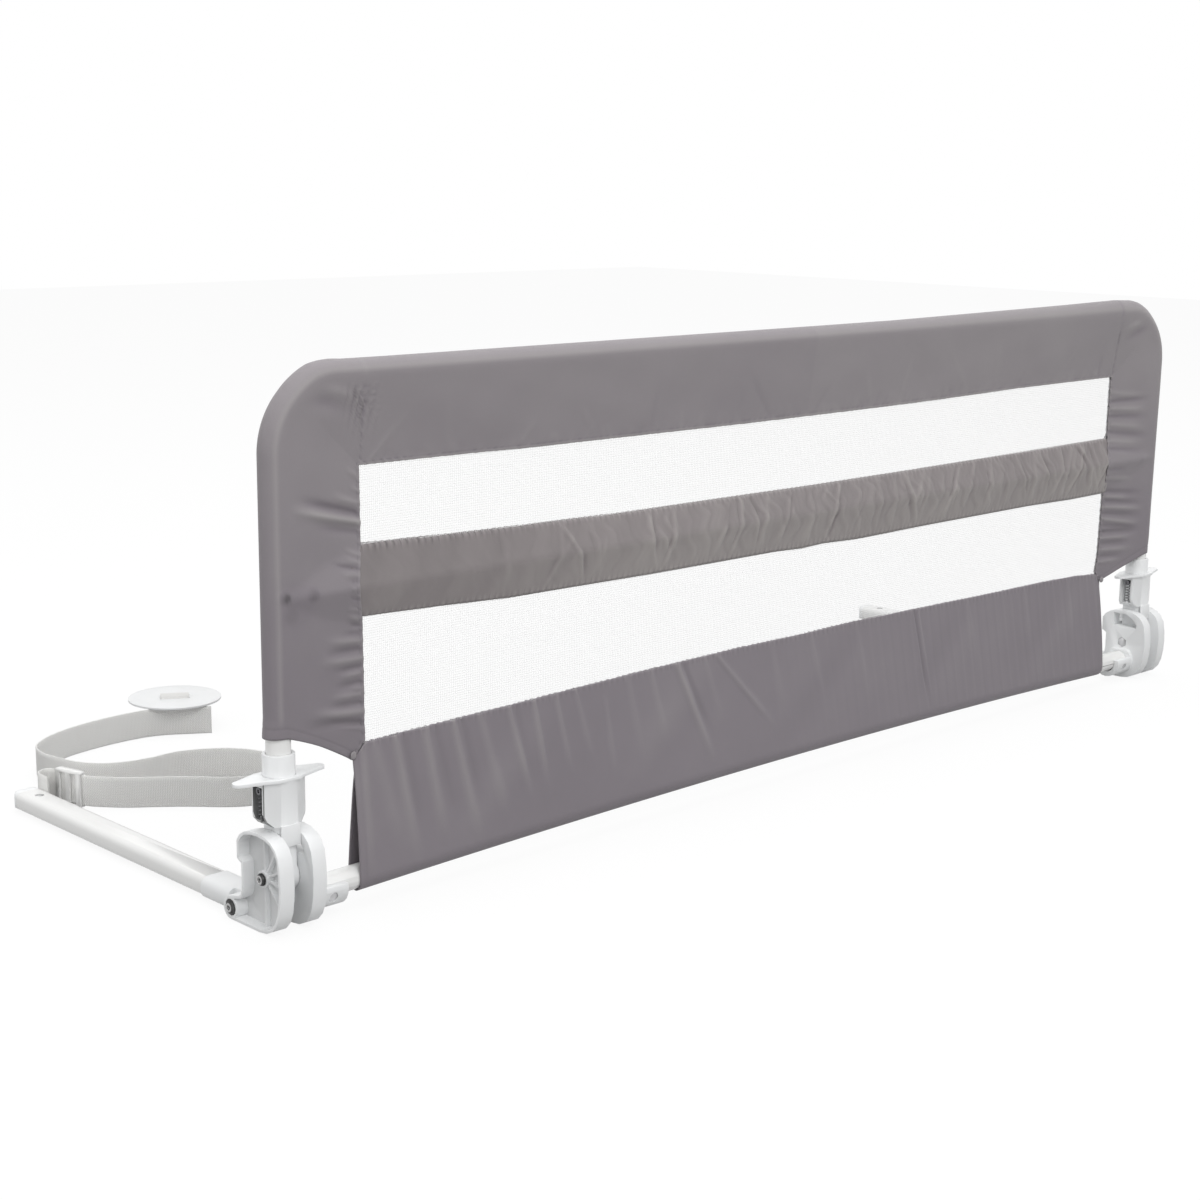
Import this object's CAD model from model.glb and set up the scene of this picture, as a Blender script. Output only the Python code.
"""Looks of a folding bed guard rail: cloth, nets, strap, moulded hinges, tubes and a plain studio."""

import math
import random

import bpy
import numpy as np
from mathutils import Matrix, Vector


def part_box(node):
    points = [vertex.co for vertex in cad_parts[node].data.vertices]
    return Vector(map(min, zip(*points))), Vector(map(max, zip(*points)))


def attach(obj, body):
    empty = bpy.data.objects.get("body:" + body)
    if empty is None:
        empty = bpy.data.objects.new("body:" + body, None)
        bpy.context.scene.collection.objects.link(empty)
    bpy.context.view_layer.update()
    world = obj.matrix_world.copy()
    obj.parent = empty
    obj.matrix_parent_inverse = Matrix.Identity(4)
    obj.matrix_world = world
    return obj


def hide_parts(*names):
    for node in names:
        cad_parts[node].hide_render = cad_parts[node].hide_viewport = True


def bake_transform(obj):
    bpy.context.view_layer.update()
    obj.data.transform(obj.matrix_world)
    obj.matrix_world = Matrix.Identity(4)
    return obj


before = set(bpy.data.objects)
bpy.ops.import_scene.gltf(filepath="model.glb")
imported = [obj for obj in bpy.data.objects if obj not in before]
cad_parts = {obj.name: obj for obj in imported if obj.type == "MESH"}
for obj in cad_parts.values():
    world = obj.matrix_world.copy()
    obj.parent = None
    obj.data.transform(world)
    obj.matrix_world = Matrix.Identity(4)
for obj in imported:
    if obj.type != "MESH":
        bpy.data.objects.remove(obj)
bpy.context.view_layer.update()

bl_info = {
    "name": "Folding Bed Guard Rail",
    "version": (1, 0, 0),
    "blender": (4, 5, 0),
    "location": "View3D > Sidebar > Bed Rail",
    "description": "Dresses the frame of a folding bed guard rail in cloth, net, webbing and plastic",
    "category": "Object",
}


def middle(node):
    low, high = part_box(node)
    return (low + high) / 2


# Places that come from the frame, in metres
POST_X = middle("lower_post_right").x
POST_Y = middle("lower_post_right").y
TOP_Z = middle("top_tube").z
MID_Z = middle("mid_rail").z
NET_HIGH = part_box("upper_net")[1]
WINDOW_TOP = NET_HIGH.z + 0.0003
BAND_LOW, BAND_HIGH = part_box("mid_band")

# Bend of the top frame, the cloth round its tube, half a sewn seam, the hem at the post, and the bar
BEND_RADIUS = 0.055
SLEEVE_RADIUS = 0.0107
SEAM_HALF = 0.0010
POST_HEM_Z = 0.146
BAR_END_Z = 0.021
BAR_BOW = 0.008
BAR_BOW_HALF = 0.53265
SKIRT_RISE = 0.106
# The right stud sits in the cloth's lower corner, which lies this much further in than in the frame
STUD_SHIFT = -0.0105

# Reach of a slider's pocket from the middle of its spring: outwards, sideways and up
POCKET_BACK, POCKET_FRONT = -0.0060, 0.0028
POCKET_HALF = 0.0070
POCKET_FOOT, POCKET_HEAD = -0.0110, 0.0170

# The camera of the photo, fitted to the part: its place in metres, its axes and its lens in millimetres
CAMERA_PLACE = (-1.41719, -1.37501, 0.55644)
CAMERA_RIGHT = (0.71935, -0.69457, 0.01097)
CAMERA_UP = (0.13648, 0.15681, 0.97815)
CAMERA_BACK = (-0.68111, -0.70213, 0.20760)
CAMERA_LENS = 61.168

# The strap's route from part.mjs, in metres: X and Y from the left post, and the rise
STRAP_ROUTE = [
    (0.0142, 0.37, 0), (0.0142, 0.378, 0), (0.0142, 0.385, 0), (0.0158, 0.3896, 0.0004),
    (0.0204, 0.3916, 0.001), (0.0252, 0.388, 0.002), (0.028, 0.38, 0.0024), (0.03, 0.372, 0.0024),
    (0.032, 0.364, 0.0024), (0.034, 0.356, 0.0024), (0.0362, 0.3484, 0.0024), (0.042, 0.3418, 0.0016),
    (0.052, 0.3336, 0.0008), (0.064, 0.3246, 0), (0.084, 0.309, 0), (0.099, 0.297, 0), (0.113, 0.284, 0),
    (0.129, 0.268, 0), (0.148, 0.256, 0), (0.171, 0.2545, 0), (0.192, 0.266, 0), (0.202, 0.288, 0),
    (0.199, 0.316, 0), (0.187, 0.338, 0), (0.165, 0.355, 0), (0.14, 0.364, 0), (0.115, 0.363, 0),
    (0.092, 0.366, 0), (0.072, 0.376, 0), (0.058, 0.395, 0), (0.052, 0.418, 0), (0.049, 0.443, 0),
    (0.056, 0.466, 0), (0.075, 0.484, 0), (0.107, 0.499, 0), (0.141, 0.507, 0), (0.179, 0.51, 0),
    (0.202, 0.508, 0), (0.2197, 0.5015, 0), (0.235, 0.492, 0), (0.2503, 0.4825, 0), (0.255, 0.4796, 0),
]
STRAP_WIDTH = 0.028
STRAP_THICKNESS = 0.0016
STRAP_MIDDLE_Z = 0.0144
STRAP_GIRTH = 0.059

# Middle of the strap's darkest bend, in X and Y from the left post
STRAP_BEND_X, STRAP_BEND_Y = 0.050, 0.440


# Sizes and colours that a user may change
class RailClothSettings(bpy.types.PropertyGroup):
    cloth_colour: bpy.props.FloatVectorProperty(
        name="Cloth", description="Colour of the cover and the skirt", subtype="COLOR", size=3,
        default=(0.216, 0.194, 0.214), min=0, max=1)
    band_colour: bpy.props.FloatVectorProperty(
        name="Band", description="Colour of the band between the windows", subtype="COLOR", size=3,
        default=(0.246, 0.222, 0.224), min=0, max=1)
    strap_colour: bpy.props.FloatVectorProperty(
        name="Webbing", description="Colour of the strap", subtype="COLOR", size=3,
        default=(0.93, 0.925, 0.905), min=0, max=1)
    cloth_thickness: bpy.props.FloatProperty(
        name="Thickness", description="Thickness of the cloth", subtype="DISTANCE", unit="LENGTH",
        default=0.0008, min=0.0002, max=0.002)
    fold_height: bpy.props.FloatProperty(
        name="Folds", description="How high the cloth's folds stand", subtype="DISTANCE",
        unit="LENGTH", default=0.0016, min=0.0, max=0.004)
    pucker_height: bpy.props.FloatProperty(
        name="Puckers", description="How far the stitched edges pucker", subtype="DISTANCE",
        unit="LENGTH", default=0.0009, min=0.0, max=0.003)


class RailHardSettings(bpy.types.PropertyGroup):
    plastic_colour: bpy.props.FloatVectorProperty(
        name="Plastic", description="Colour of the hinges", subtype="COLOR", size=3,
        default=(0.84, 0.85, 0.855), min=0, max=1)
    tube_colour: bpy.props.FloatVectorProperty(
        name="Tubes", description="Colour of the painted tubes", subtype="COLOR", size=3,
        default=(0.82, 0.82, 0.81), min=0, max=1)
    edge_radius: bpy.props.FloatProperty(
        name="Edges", description="Rounding of the moulded edges", subtype="DISTANCE",
        unit="LENGTH", default=0.0006, min=0.0001, max=0.002)
    disc_radius: bpy.props.FloatProperty(
        name="Disc", description="Radius of the anchor disc", subtype="DISTANCE", unit="LENGTH",
        default=0.046, min=0.02, max=0.06)


class RailStageSettings(bpy.types.PropertyGroup):
    floor_size: bpy.props.FloatProperty(
        name="Floor", description="Side of the studio floor", subtype="DISTANCE", unit="LENGTH",
        default=14.0, min=2.0, max=40.0)
    key_power: bpy.props.FloatProperty(
        name="Key light", description="Power of the large soft light", default=46.0, min=0.0, max=500.0)
    sky_level: bpy.props.FloatProperty(
        name="Sky", description="Level of the light from all round", default=0.63, min=0.0, max=2.0)


# Small helpers for objects and meshes
def clear_selection():
    if bpy.context.object and bpy.context.object.mode != "OBJECT":
        bpy.ops.object.mode_set(mode="OBJECT")
    bpy.ops.object.select_all(action="DESELECT")


def select_only(obj):
    clear_selection()
    obj.select_set(True)
    bpy.context.view_layer.objects.active = obj


def edit_all(obj):
    """Enters edit mode with the whole mesh selected."""
    select_only(obj)
    bpy.ops.object.mode_set(mode="EDIT")
    bpy.ops.mesh.select_all(action="SELECT")


def apply_place(obj):
    select_only(obj)
    bpy.ops.object.transform_apply(location=True, rotation=True, scale=True)


def add_modifier(obj, kind, **values):
    select_only(obj)
    modifier = obj.modifiers.new(kind.title(), kind)
    for key, value in values.items():
        setattr(modifier, key, value)
    bpy.ops.object.modifier_apply(modifier=modifier.name)


def smooth(obj, degrees=38):
    select_only(obj)
    bpy.ops.object.shade_smooth_by_angle(angle=math.radians(degrees))


def dress(obj, material, body=None, stands_for=()):
    obj.data.materials.clear()
    obj.data.materials.append(material)
    if body:
        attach(obj, body)
    if stands_for:
        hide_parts(*stands_for)
    return obj


def moulded_copy(node, name, radius=0.0, segments=2, degrees=38, joined=True):
    """A merged, edge-rounded and smooth-shaded copy of a frame node's mesh."""
    obj = bpy.data.objects.new(name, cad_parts[node].data.copy())
    bpy.context.scene.collection.objects.link(obj)
    edit_all(obj)
    bpy.ops.mesh.remove_doubles(threshold=0.00001)
    if joined:
        bpy.ops.mesh.dissolve_limited(angle_limit=math.radians(0.6))
    bpy.ops.object.mode_set(mode="OBJECT")
    if radius:
        add_modifier(obj, "BEVEL", width=radius, segments=segments, limit_method="ANGLE",
                     angle_limit=math.radians(degrees), use_clamp_overlap=True, harden_normals=False,
                     miter_outer="MITER_ARC")
    smooth(obj, degrees)
    return obj


def shaped_sheet(name, columns, rows, shape):
    """A grid primitive that shape(along, across) forms: it gives places, cloth lengths and tone."""
    clear_selection()
    bpy.ops.mesh.primitive_grid_add(x_subdivisions=columns, y_subdivisions=rows, size=1.0)
    obj = bpy.context.object
    obj.name = name
    mesh = obj.data
    flat = np.empty(len(mesh.vertices) * 3)
    mesh.vertices.foreach_get("co", flat)
    flat = flat.reshape(-1, 3)
    places, lengths, tone = shape(np.clip(flat[:, 0] + 0.5, 0, 1), np.clip(flat[:, 1] + 0.5, 0, 1))
    mesh.vertices.foreach_set("co", places.astype(np.float64).ravel())
    corner = np.empty(len(mesh.loops), dtype=np.int32)
    mesh.loops.foreach_get("vertex_index", corner)
    mesh.uv_layers.active.data.foreach_set("uv", lengths[corner].ravel())
    shades = mesh.attributes.new("tone", "FLOAT", "POINT")
    shades.data.foreach_set("value", np.clip(tone, -1.5, 1.5).astype(np.float32))
    mesh.update()
    return obj


def tone_recess(obj, outward, strength, start=0.001):
    """Greys a moulding's sunk faces, deeper ones more, as dust and shade do in a ribbed pocket."""
    way = Vector(outward)
    rim = max(way.dot(vertex.co) for vertex in obj.data.vertices)
    shades = obj.data.attributes.new("tone", "FLOAT", "FACE")
    for face in obj.data.polygons:
        depth = rim - way.dot(face.center)
        if face.normal.dot(way) > 0.5:
            shades.data[face.index].value = strength * min(1.0, max(0.0, (depth - start) / 0.007))


def tone_pockets(obj, springs):
    """Darkens the faces that look into each spring's pocket, where little light gets in."""
    shades = obj.data.attributes.new("tone", "FLOAT", "FACE")
    for spring in springs:
        low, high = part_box(spring)
        centre = (low + high) / 2
        hand = math.copysign(1.0, centre.x - middle("lower_post_left").x)
        for face in obj.data.polygons:
            out, side, rise = face.center - centre
            in_depth = POCKET_BACK < out * hand < POCKET_FRONT
            if in_depth and abs(side) < POCKET_HALF and POCKET_FOOT < rise < POCKET_HEAD:
                shades.data[face.index].value = 1.0


def turn_outwards(obj, probe, outward):
    """Turns a sheet's faces round if the face nearest to probe doesn't look along outward."""
    nearest = min(obj.data.polygons, key=lambda face: (face.center - Vector(probe)).length)
    if nearest.normal.dot(Vector(outward)) < 0:
        edit_all(obj)
        bpy.ops.mesh.flip_normals()
        bpy.ops.object.mode_set(mode="OBJECT")


def smoothstep(low, high, value):
    share = np.clip((value - low) / (high - low), 0, 1)
    return share * share * (3 - 2 * share)


def waves(value, seed, length, octaves=3):
    """A smooth uneven wave about zero, from sines whose lengths don't repeat."""
    source = random.Random(seed)
    total = np.zeros_like(value)
    for octave in range(octaves):
        reach = length / (1.0 + 0.83 * octave)
        phase = source.uniform(0, 2 * math.pi)
        total += np.sin(2 * math.pi * value / reach + phase) / (1 + 0.7 * octave)
    return total / 1.9


# Finishes
class Finish:
    """A procedural material that is put together node by node."""

    def __init__(self, name):
        self.material = bpy.data.materials.new(name)
        self.material.use_nodes = True
        self.tree = self.material.node_tree
        self.shader = self.tree.nodes["Principled BSDF"]
        self.output = self.tree.nodes["Material Output"]
        self.coordinates = self.tree.nodes.new("ShaderNodeTexCoord")

    def node(self, kind, **values):
        made = self.tree.nodes.new(kind)
        for key, value in values.items():
            if hasattr(made, key):
                setattr(made, key, value)
            else:
                made.inputs[key.replace("_", " ").title()].default_value = value
        return made

    def link(self, start, end):
        self.tree.links.new(start, end)

    def set(self, **values):
        for key, value in values.items():
            self.shader.inputs[key.replace("_", " ")].default_value = value

    def set_colour(self, source):
        self.link(source, self.shader.inputs["Base Color"])

    def set_normal(self, source):
        self.link(source, self.shader.inputs["Normal"])

    def noise(self, vector, scale, detail=3.0, roughness=0.55):
        made = self.node("ShaderNodeTexNoise")
        made.inputs["Scale"].default_value = scale
        made.inputs["Detail"].default_value = detail
        made.inputs["Roughness"].default_value = roughness
        self.link(vector, made.inputs["Vector"])
        return made.outputs["Fac"]

    def wave(self, vector, direction, scale):
        made = self.node("ShaderNodeTexWave", wave_type="BANDS", bands_direction=direction)
        made.inputs["Scale"].default_value = scale
        made.inputs["Distortion"].default_value = 0.6
        made.inputs["Detail"].default_value = 1.0
        self.link(vector, made.inputs["Vector"])
        return made.outputs["Fac"]

    def math(self, operation, first, second):
        made = self.node("ShaderNodeMath", operation=operation)
        for socket, value in zip(made.inputs, (first, second)):
            if isinstance(value, (int, float)):
                socket.default_value = value
            else:
                self.link(value, socket)
        return made.outputs[0]

    def between(self, factor, dark, light, low=0.3, high=0.7):
        ramp = self.node("ShaderNodeValToRGB")
        ramp.color_ramp.elements[0].position = low
        ramp.color_ramp.elements[1].position = high
        ramp.color_ramp.elements[0].color = (*dark, 1)
        ramp.color_ramp.elements[1].color = (*light, 1)
        self.link(factor, ramp.inputs["Fac"])
        return ramp.outputs["Color"]

    def toned(self, colour, shaded):
        """The colour, turned to a shaded one where the piece's own tone attribute is 1."""
        tone = self.node("ShaderNodeAttribute", attribute_name="tone")
        mix = self.node("ShaderNodeMix", data_type="RGBA")
        self.link(tone.outputs["Fac"], mix.inputs[0])
        self.link(colour, mix.inputs[6])
        mix.inputs[7].default_value = (*shaded, 1)
        return mix.outputs[2]

    def bump(self, height, distance, strength=1.0, under=None):
        made = self.node("ShaderNodeBump")
        made.inputs["Strength"].default_value = strength
        made.inputs["Distance"].default_value = distance
        self.link(height, made.inputs["Height"])
        if under is not None:
            self.link(under, made.inputs["Normal"])
        return made.outputs["Normal"]


def shade(colour, factor):
    return tuple(min(1.0, channel * factor) for channel in colour)


def cloth_finish(name, colour, ridge_colour):
    """Fine plain-woven polyester: threads, a soft sheen, and lighter and darker folds."""
    finish = Finish(name)
    cloth = finish.coordinates.outputs["UV"]
    threads = finish.math("MULTIPLY", finish.wave(cloth, "X", 420.0), finish.wave(cloth, "Y", 420.0))
    place = finish.coordinates.outputs["Object"]
    cloud = finish.noise(place, 9.0, 4.0, 0.6)
    grain = finish.noise(cloth, 900.0, 2.0, 0.6)
    tone = finish.node("ShaderNodeAttribute", attribute_name="tone")
    level = finish.math("MULTIPLY_ADD", tone.outputs["Fac"], 0.36)
    level.node.inputs[2].default_value = 0.5
    uneven = finish.math("ADD", finish.math("MULTIPLY", cloud, 0.22), finish.math("MULTIPLY", grain, 0.12))
    mixed = finish.math("ADD", level, finish.math("SUBTRACT", uneven, 0.17))
    ramp = finish.node("ShaderNodeValToRGB")
    ramp.color_ramp.elements[0].position = 0.0
    ramp.color_ramp.elements[1].position = 1.0
    ramp.color_ramp.elements[0].color = (*shade(colour, 0.48), 1)
    ramp.color_ramp.elements[1].color = (*ridge_colour, 1)
    ramp.color_ramp.elements.new(0.16).color = (*shade(colour, 0.79), 1)
    ramp.color_ramp.elements.new(0.5).color = (*colour, 1)
    finish.link(mixed, ramp.inputs["Fac"])
    finish.set_colour(ramp.outputs["Color"])
    soft = finish.bump(finish.noise(place, 60.0, 3.0, 0.5), 0.0006, 0.35)
    weave = finish.bump(threads, 0.00012, 0.5, soft)
    finish.set_normal(weave)
    finish.set(Roughness=0.66, Sheen_Weight=0.18, Sheen_Roughness=0.45)
    return finish.material


def plastic_finish(name, colour, roughness=0.33):
    """Injection-moulded plastic with a faint sink and a satin skin."""
    finish = Finish(name)
    place = finish.coordinates.outputs["Object"]
    cloud = finish.noise(place, 28.0, 3.0, 0.5)
    skin_colour = finish.between(cloud, shade(colour, 0.975), shade(colour, 1.015))
    finish.set_colour(finish.toned(skin_colour, shade(colour, 0.22)))
    flow = finish.noise(place, 90.0, 2.0, 0.4)
    skin = finish.noise(place, 2600.0, 2.0, 0.6)
    worn = finish.node("ShaderNodeMapRange")
    worn.inputs["To Min"].default_value = roughness - 0.05
    worn.inputs["To Max"].default_value = roughness + 0.09
    finish.link(cloud, worn.inputs["Value"])
    finish.link(worn.outputs["Result"], finish.shader.inputs["Roughness"])
    finish.set_normal(finish.bump(skin, 0.00003, 0.35, finish.bump(flow, 0.0002, 0.25)))
    finish.set(Coat_Weight=0.12, Coat_Roughness=0.25, IOR=1.49)
    return finish.material


def paint_finish(name, colour):
    """White powder coat: glossy with a very fine orange peel."""
    finish = Finish(name)
    place = finish.coordinates.outputs["Object"]
    peel = finish.noise(place, 620.0, 2.0, 0.5)
    cloud = finish.noise(place, 14.0, 3.0, 0.5)
    finish.set_colour(finish.between(cloud, shade(colour, 0.98), shade(colour, 1.01)))
    finish.set_normal(finish.bump(peel, 0.00006, 0.3))
    finish.set(Roughness=0.28, Coat_Weight=0.35, Coat_Roughness=0.12)
    return finish.material


def steel_finish(name, colour, roughness):
    """Zinc-plated steel with turned marks."""
    finish = Finish(name)
    place = finish.coordinates.outputs["Object"]
    marks = finish.noise(place, 1500.0, 3.0, 0.7)
    tarnish = finish.noise(place, 160.0, 4.0, 0.6)
    finish.set_colour(finish.between(tarnish, shade(colour, 0.78), shade(colour, 1.08)))
    finish.set_normal(finish.bump(marks, 0.00004, 0.5))
    finish.set(Metallic=1.0, Roughness=roughness)
    return finish.material


def bolt_finish(name, bolts):
    """Steel bolts along X: a dark rim, a turned face and a dark socket round each of their axes."""
    finish = Finish(name)
    nearest = None
    for bolt in bolts:
        centre = middle(bolt)
        across = finish.node("ShaderNodeMapping")
        across.inputs["Location"].default_value = (0, -centre.y, -centre.z)
        across.inputs["Scale"].default_value = (0, 1, 1)
        finish.link(finish.coordinates.outputs["Object"], across.inputs["Vector"])
        length = finish.node("ShaderNodeVectorMath", operation="LENGTH")
        finish.link(across.outputs["Vector"], length.inputs[0])
        distance = length.outputs["Value"]
        nearest = distance if nearest is None else finish.math("MINIMUM", nearest, distance)
    ramp = finish.node("ShaderNodeValToRGB")
    finish.link(finish.math("MULTIPLY", nearest, 100.0), ramp.inputs["Fac"])
    bands = ((0.0, 0.03), (0.17, 0.04), (0.22, 0.58), (0.33, 0.42), (0.38, 0.05), (1.0, 0.08))
    ramp.color_ramp.elements[0].color = (bands[0][1],) * 3 + (1,)
    ramp.color_ramp.elements[1].color = (bands[-1][1],) * 3 + (1,)
    for place, level in bands[1:-1]:
        ramp.color_ramp.elements.new(place).color = (level,) * 3 + (1,)
    finish.set_colour(ramp.outputs["Color"])
    marks = finish.noise(finish.coordinates.outputs["Object"], 1500.0, 3.0, 0.7)
    finish.set_normal(finish.bump(marks, 0.00004, 0.5))
    finish.set(Metallic=0.85, Roughness=0.38)
    return finish.material


def webbing_finish(name, colour):
    """Flat polyester webbing: rows of diagonal ribs between two tight edges."""
    finish = Finish(name)
    cloth = finish.coordinates.outputs["UV"]
    ribs = finish.wave(cloth, "DIAGONAL", 330.0)
    rows = finish.wave(cloth, "X", 210.0)
    height = finish.math("ADD", ribs, finish.math("MULTIPLY", rows, 0.8))
    fuzz = finish.noise(cloth, 1400.0, 2.0, 0.7)
    tone = finish.math("ADD", finish.math("MULTIPLY", height, 0.35), finish.math("MULTIPLY", fuzz, 0.45))
    woven = finish.between(tone, shade(colour, 0.88), shade(colour, 1.08), 0.2, 0.75)
    finish.set_colour(finish.toned(woven, shade(colour, 0.62)))
    finish.set_normal(finish.bump(height, 0.0003, 0.7))
    finish.set(Roughness=0.85, Sheen_Weight=0.2, Sheen_Roughness=0.5)
    return finish.material


def net_finish(name):
    """Fine white net: thin threads round six-sided holes."""
    finish = Finish(name)
    cloth = finish.coordinates.outputs["UV"]
    cells = finish.node("ShaderNodeTexVoronoi", feature="DISTANCE_TO_EDGE", voronoi_dimensions="2D")
    cells.inputs["Scale"].default_value = 520.0
    cells.inputs["Randomness"].default_value = 0.25
    finish.link(cloth, cells.inputs["Vector"])
    thread = finish.math("LESS_THAN", cells.outputs["Distance"], 0.075)
    finish.link(thread, finish.shader.inputs["Alpha"])
    finish.set(Base_Color=(0.93, 0.93, 0.93, 1.0), Roughness=0.7)
    finish.material.use_transparent_shadow = True
    return finish.material


def clear_plastic_finish(name):
    """Milky see-through plastic of the buckle."""
    finish = Finish(name)
    place = finish.coordinates.outputs["Object"]
    cloud = finish.noise(place, 120.0, 3.0, 0.5)
    finish.set_colour(finish.between(cloud, (0.84, 0.84, 0.83), (0.91, 0.91, 0.90)))
    finish.set(Roughness=0.3, Coat_Weight=0.3, Coat_Roughness=0.1)
    return finish.material


_finishes = {}


def finish(name):
    """The object's finishes, each made when it is first asked for."""
    cloth = bpy.context.scene.rail_cloth
    hard = bpy.context.scene.rail_hard
    makers = {
        "cover_cloth": (cloth_finish, tuple(cloth.cloth_colour), (0.318, 0.298, 0.302)),
        "band_cloth": (cloth_finish, tuple(cloth.band_colour), (0.360, 0.335, 0.325)),
        "strap_webbing": (webbing_finish, tuple(cloth.strap_colour)),
        "window_net": (net_finish,),
        "hinge_plastic": (plastic_finish, tuple(hard.plastic_colour)),
        "disc_plastic": (plastic_finish, shade(tuple(hard.plastic_colour), 0.93), 0.4),
        "tube_paint": (paint_finish, tuple(hard.tube_colour)),
        "screw_steel": (steel_finish, (0.56, 0.56, 0.57), 0.3),
        "spring_steel": (steel_finish, (0.16, 0.16, 0.17), 0.42),
        "bolt_steel": (bolt_finish, ("pivot_bolt_left", "arm_bolt_left")),
        "stud_enamel": (paint_finish, (0.25, 0.23, 0.24)),
        "buckle_plastic": (clear_plastic_finish,),
    }
    if name not in _finishes:
        maker, *values = makers[name]
        _finishes[name] = maker(name, *values)
    return _finishes[name]


# Shapes of the cloth. A fold is (place, lean, half width, start, end, height), lengths in metres and
# the height as a share of the fold height that the user sets; a negative height is a hollow
POST_RUN = TOP_Z - BEND_RADIUS - POST_HEM_Z
BEND_RUN = BEND_RADIUS * math.pi / 2
TOP_RUN = 2 * (POST_X - BEND_RADIUS)
COVER_RUN = 2 * POST_RUN + 2 * BEND_RUN + TOP_RUN
CORNER_RUN = POST_RUN + BEND_RUN / 2
# Where the back's inner edge lies in the weave, counted from the front's
WEAVE_GIRTH = 0.195
FRONT_SHARE = 0.52
ROUND_SHARE = 0.16

# Left border: from the stitched window edge towards the post, seen from the front
LEFT_FOLDS = [
    (0.331, 0.35, 0.0022, 0, 0.019, 0.5), (0.32, 0.3, 0.0016, 0, 0.014, 0.4),
    (0.3105, 0.25, 0.0024, 0, 0.036, 0.7), (0.303, 0.22, 0.0030, 0, 0.078, -1.4),
    (0.2965, 0.2, 0.0030, 0, 0.090, 1.7), (0.2885, 0.18, 0.0028, 0, 0.060, -0.7),
    (0.272, 0.3, 0.0016, 0, 0.022, 0.6), (0.267, 0.2, 0.0014, 0, 0.02, 0.6),
    (0.2625, 0.15, 0.0013, 0, 0.038, -1), (0.2585, 0.05, 0.0016, 0, 0.028, 0.7),
    (0.2535, 0.05, 0.0013, 0, 0.016, -0.5), (0.248, 0.05, 0.0015, 0, 0.014, 0.5),
    (0.24, 0.1, 0.0014, 0, 0.018, -0.5), (0.231, 0.1, 0.0016, 0, 0.02, 0.5),
    (0.2235, 0.2, 0.0022, 0, 0.02, 0.7), (0.218, 0.15, 0.0015, 0, 0.018, -0.8),
    (0.212, 0.1, 0.0017, 0, 0.026, -0.5), (0.2065, 0.1, 0.0026, 0, 0.046, 1),
    (0.2, 0.05, 0.0025, 0, 0.046, -1.1), (0.193, 0.05, 0.0028, 0, 0.055, 1),
    (0.187, 0, 0.0018, 0, 0.038, -1), (0.182, 0, 0.0021, 0, 0.03, 0.9),
    (0.175, 0, 0.0021, 0, 0.036, -0.9), (0.17, 0.05, 0.0015, 0, 0.018, 0.7),
    (0.1655, 0.05, 0.0024, 0, 0.042, 0.9), (0.1585, 0.05, 0.0023, 0, 0.046, -0.9),
    (0.1515, 0.1, 0.0036, 0, 0.066, 1.2), (0.1425, 0.15, 0.0034, 0, 0.066, -1.4),
    (0.138, 0.2, 0.0014, 0, 0.04, 0.7),
]
RIGHT_FOLDS = [
    (0.325, -0.1, 0.003, 0, 0.08, 0.4), (0.315, 0, 0.0026, 0, 0.085, -0.9),
    (0.3075, -0.05, 0.0026, 0, 0.08, 0.7), (0.299, -0.05, 0.0028, 0, 0.08, -0.8),
    (0.2905, -0.1, 0.003, 0, 0.08, 0.6), (0.282, -0.1, 0.0028, 0, 0.085, -0.7),
    (0.2735, -0.1, 0.0026, 0, 0.075, 0.6), (0.2645, -0.1, 0.0026, 0, 0.08, -0.8),
    (0.242, -0.05, 0.0022, 0, 0.04, -0.5), (0.233, -0.1, 0.0026, 0, 0.06, 0.6),
    (0.218, -0.1, 0.0026, 0, 0.08, -0.9), (0.212, -0.1, 0.002, 0, 0.05, 0.8),
    (0.207, -0.1, 0.0022, 0, 0.08, -0.9), (0.2005, -0.1, 0.0024, 0, 0.085, 0.9),
    (0.1935, -0.1, 0.0024, 0, 0.08, -0.9), (0.1875, -0.15, 0.0024, 0, 0.08, 1),
    (0.18, -0.1, 0.0022, 0, 0.08, -0.7), (0.173, -0.05, 0.0026, 0, 0.085, -1.1),
    (0.166, -0.05, 0.0022, 0, 0.07, 0.8), (0.16, -0.05, 0.0024, 0, 0.06, -0.7),
    (0.153, -0.05, 0.0026, 0, 0.07, 0.8), (0.146, -0.05, 0.0022, 0, 0.05, -0.7),
    (0.1395, 0, 0.0024, 0, 0.045, 0.7),
]
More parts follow.
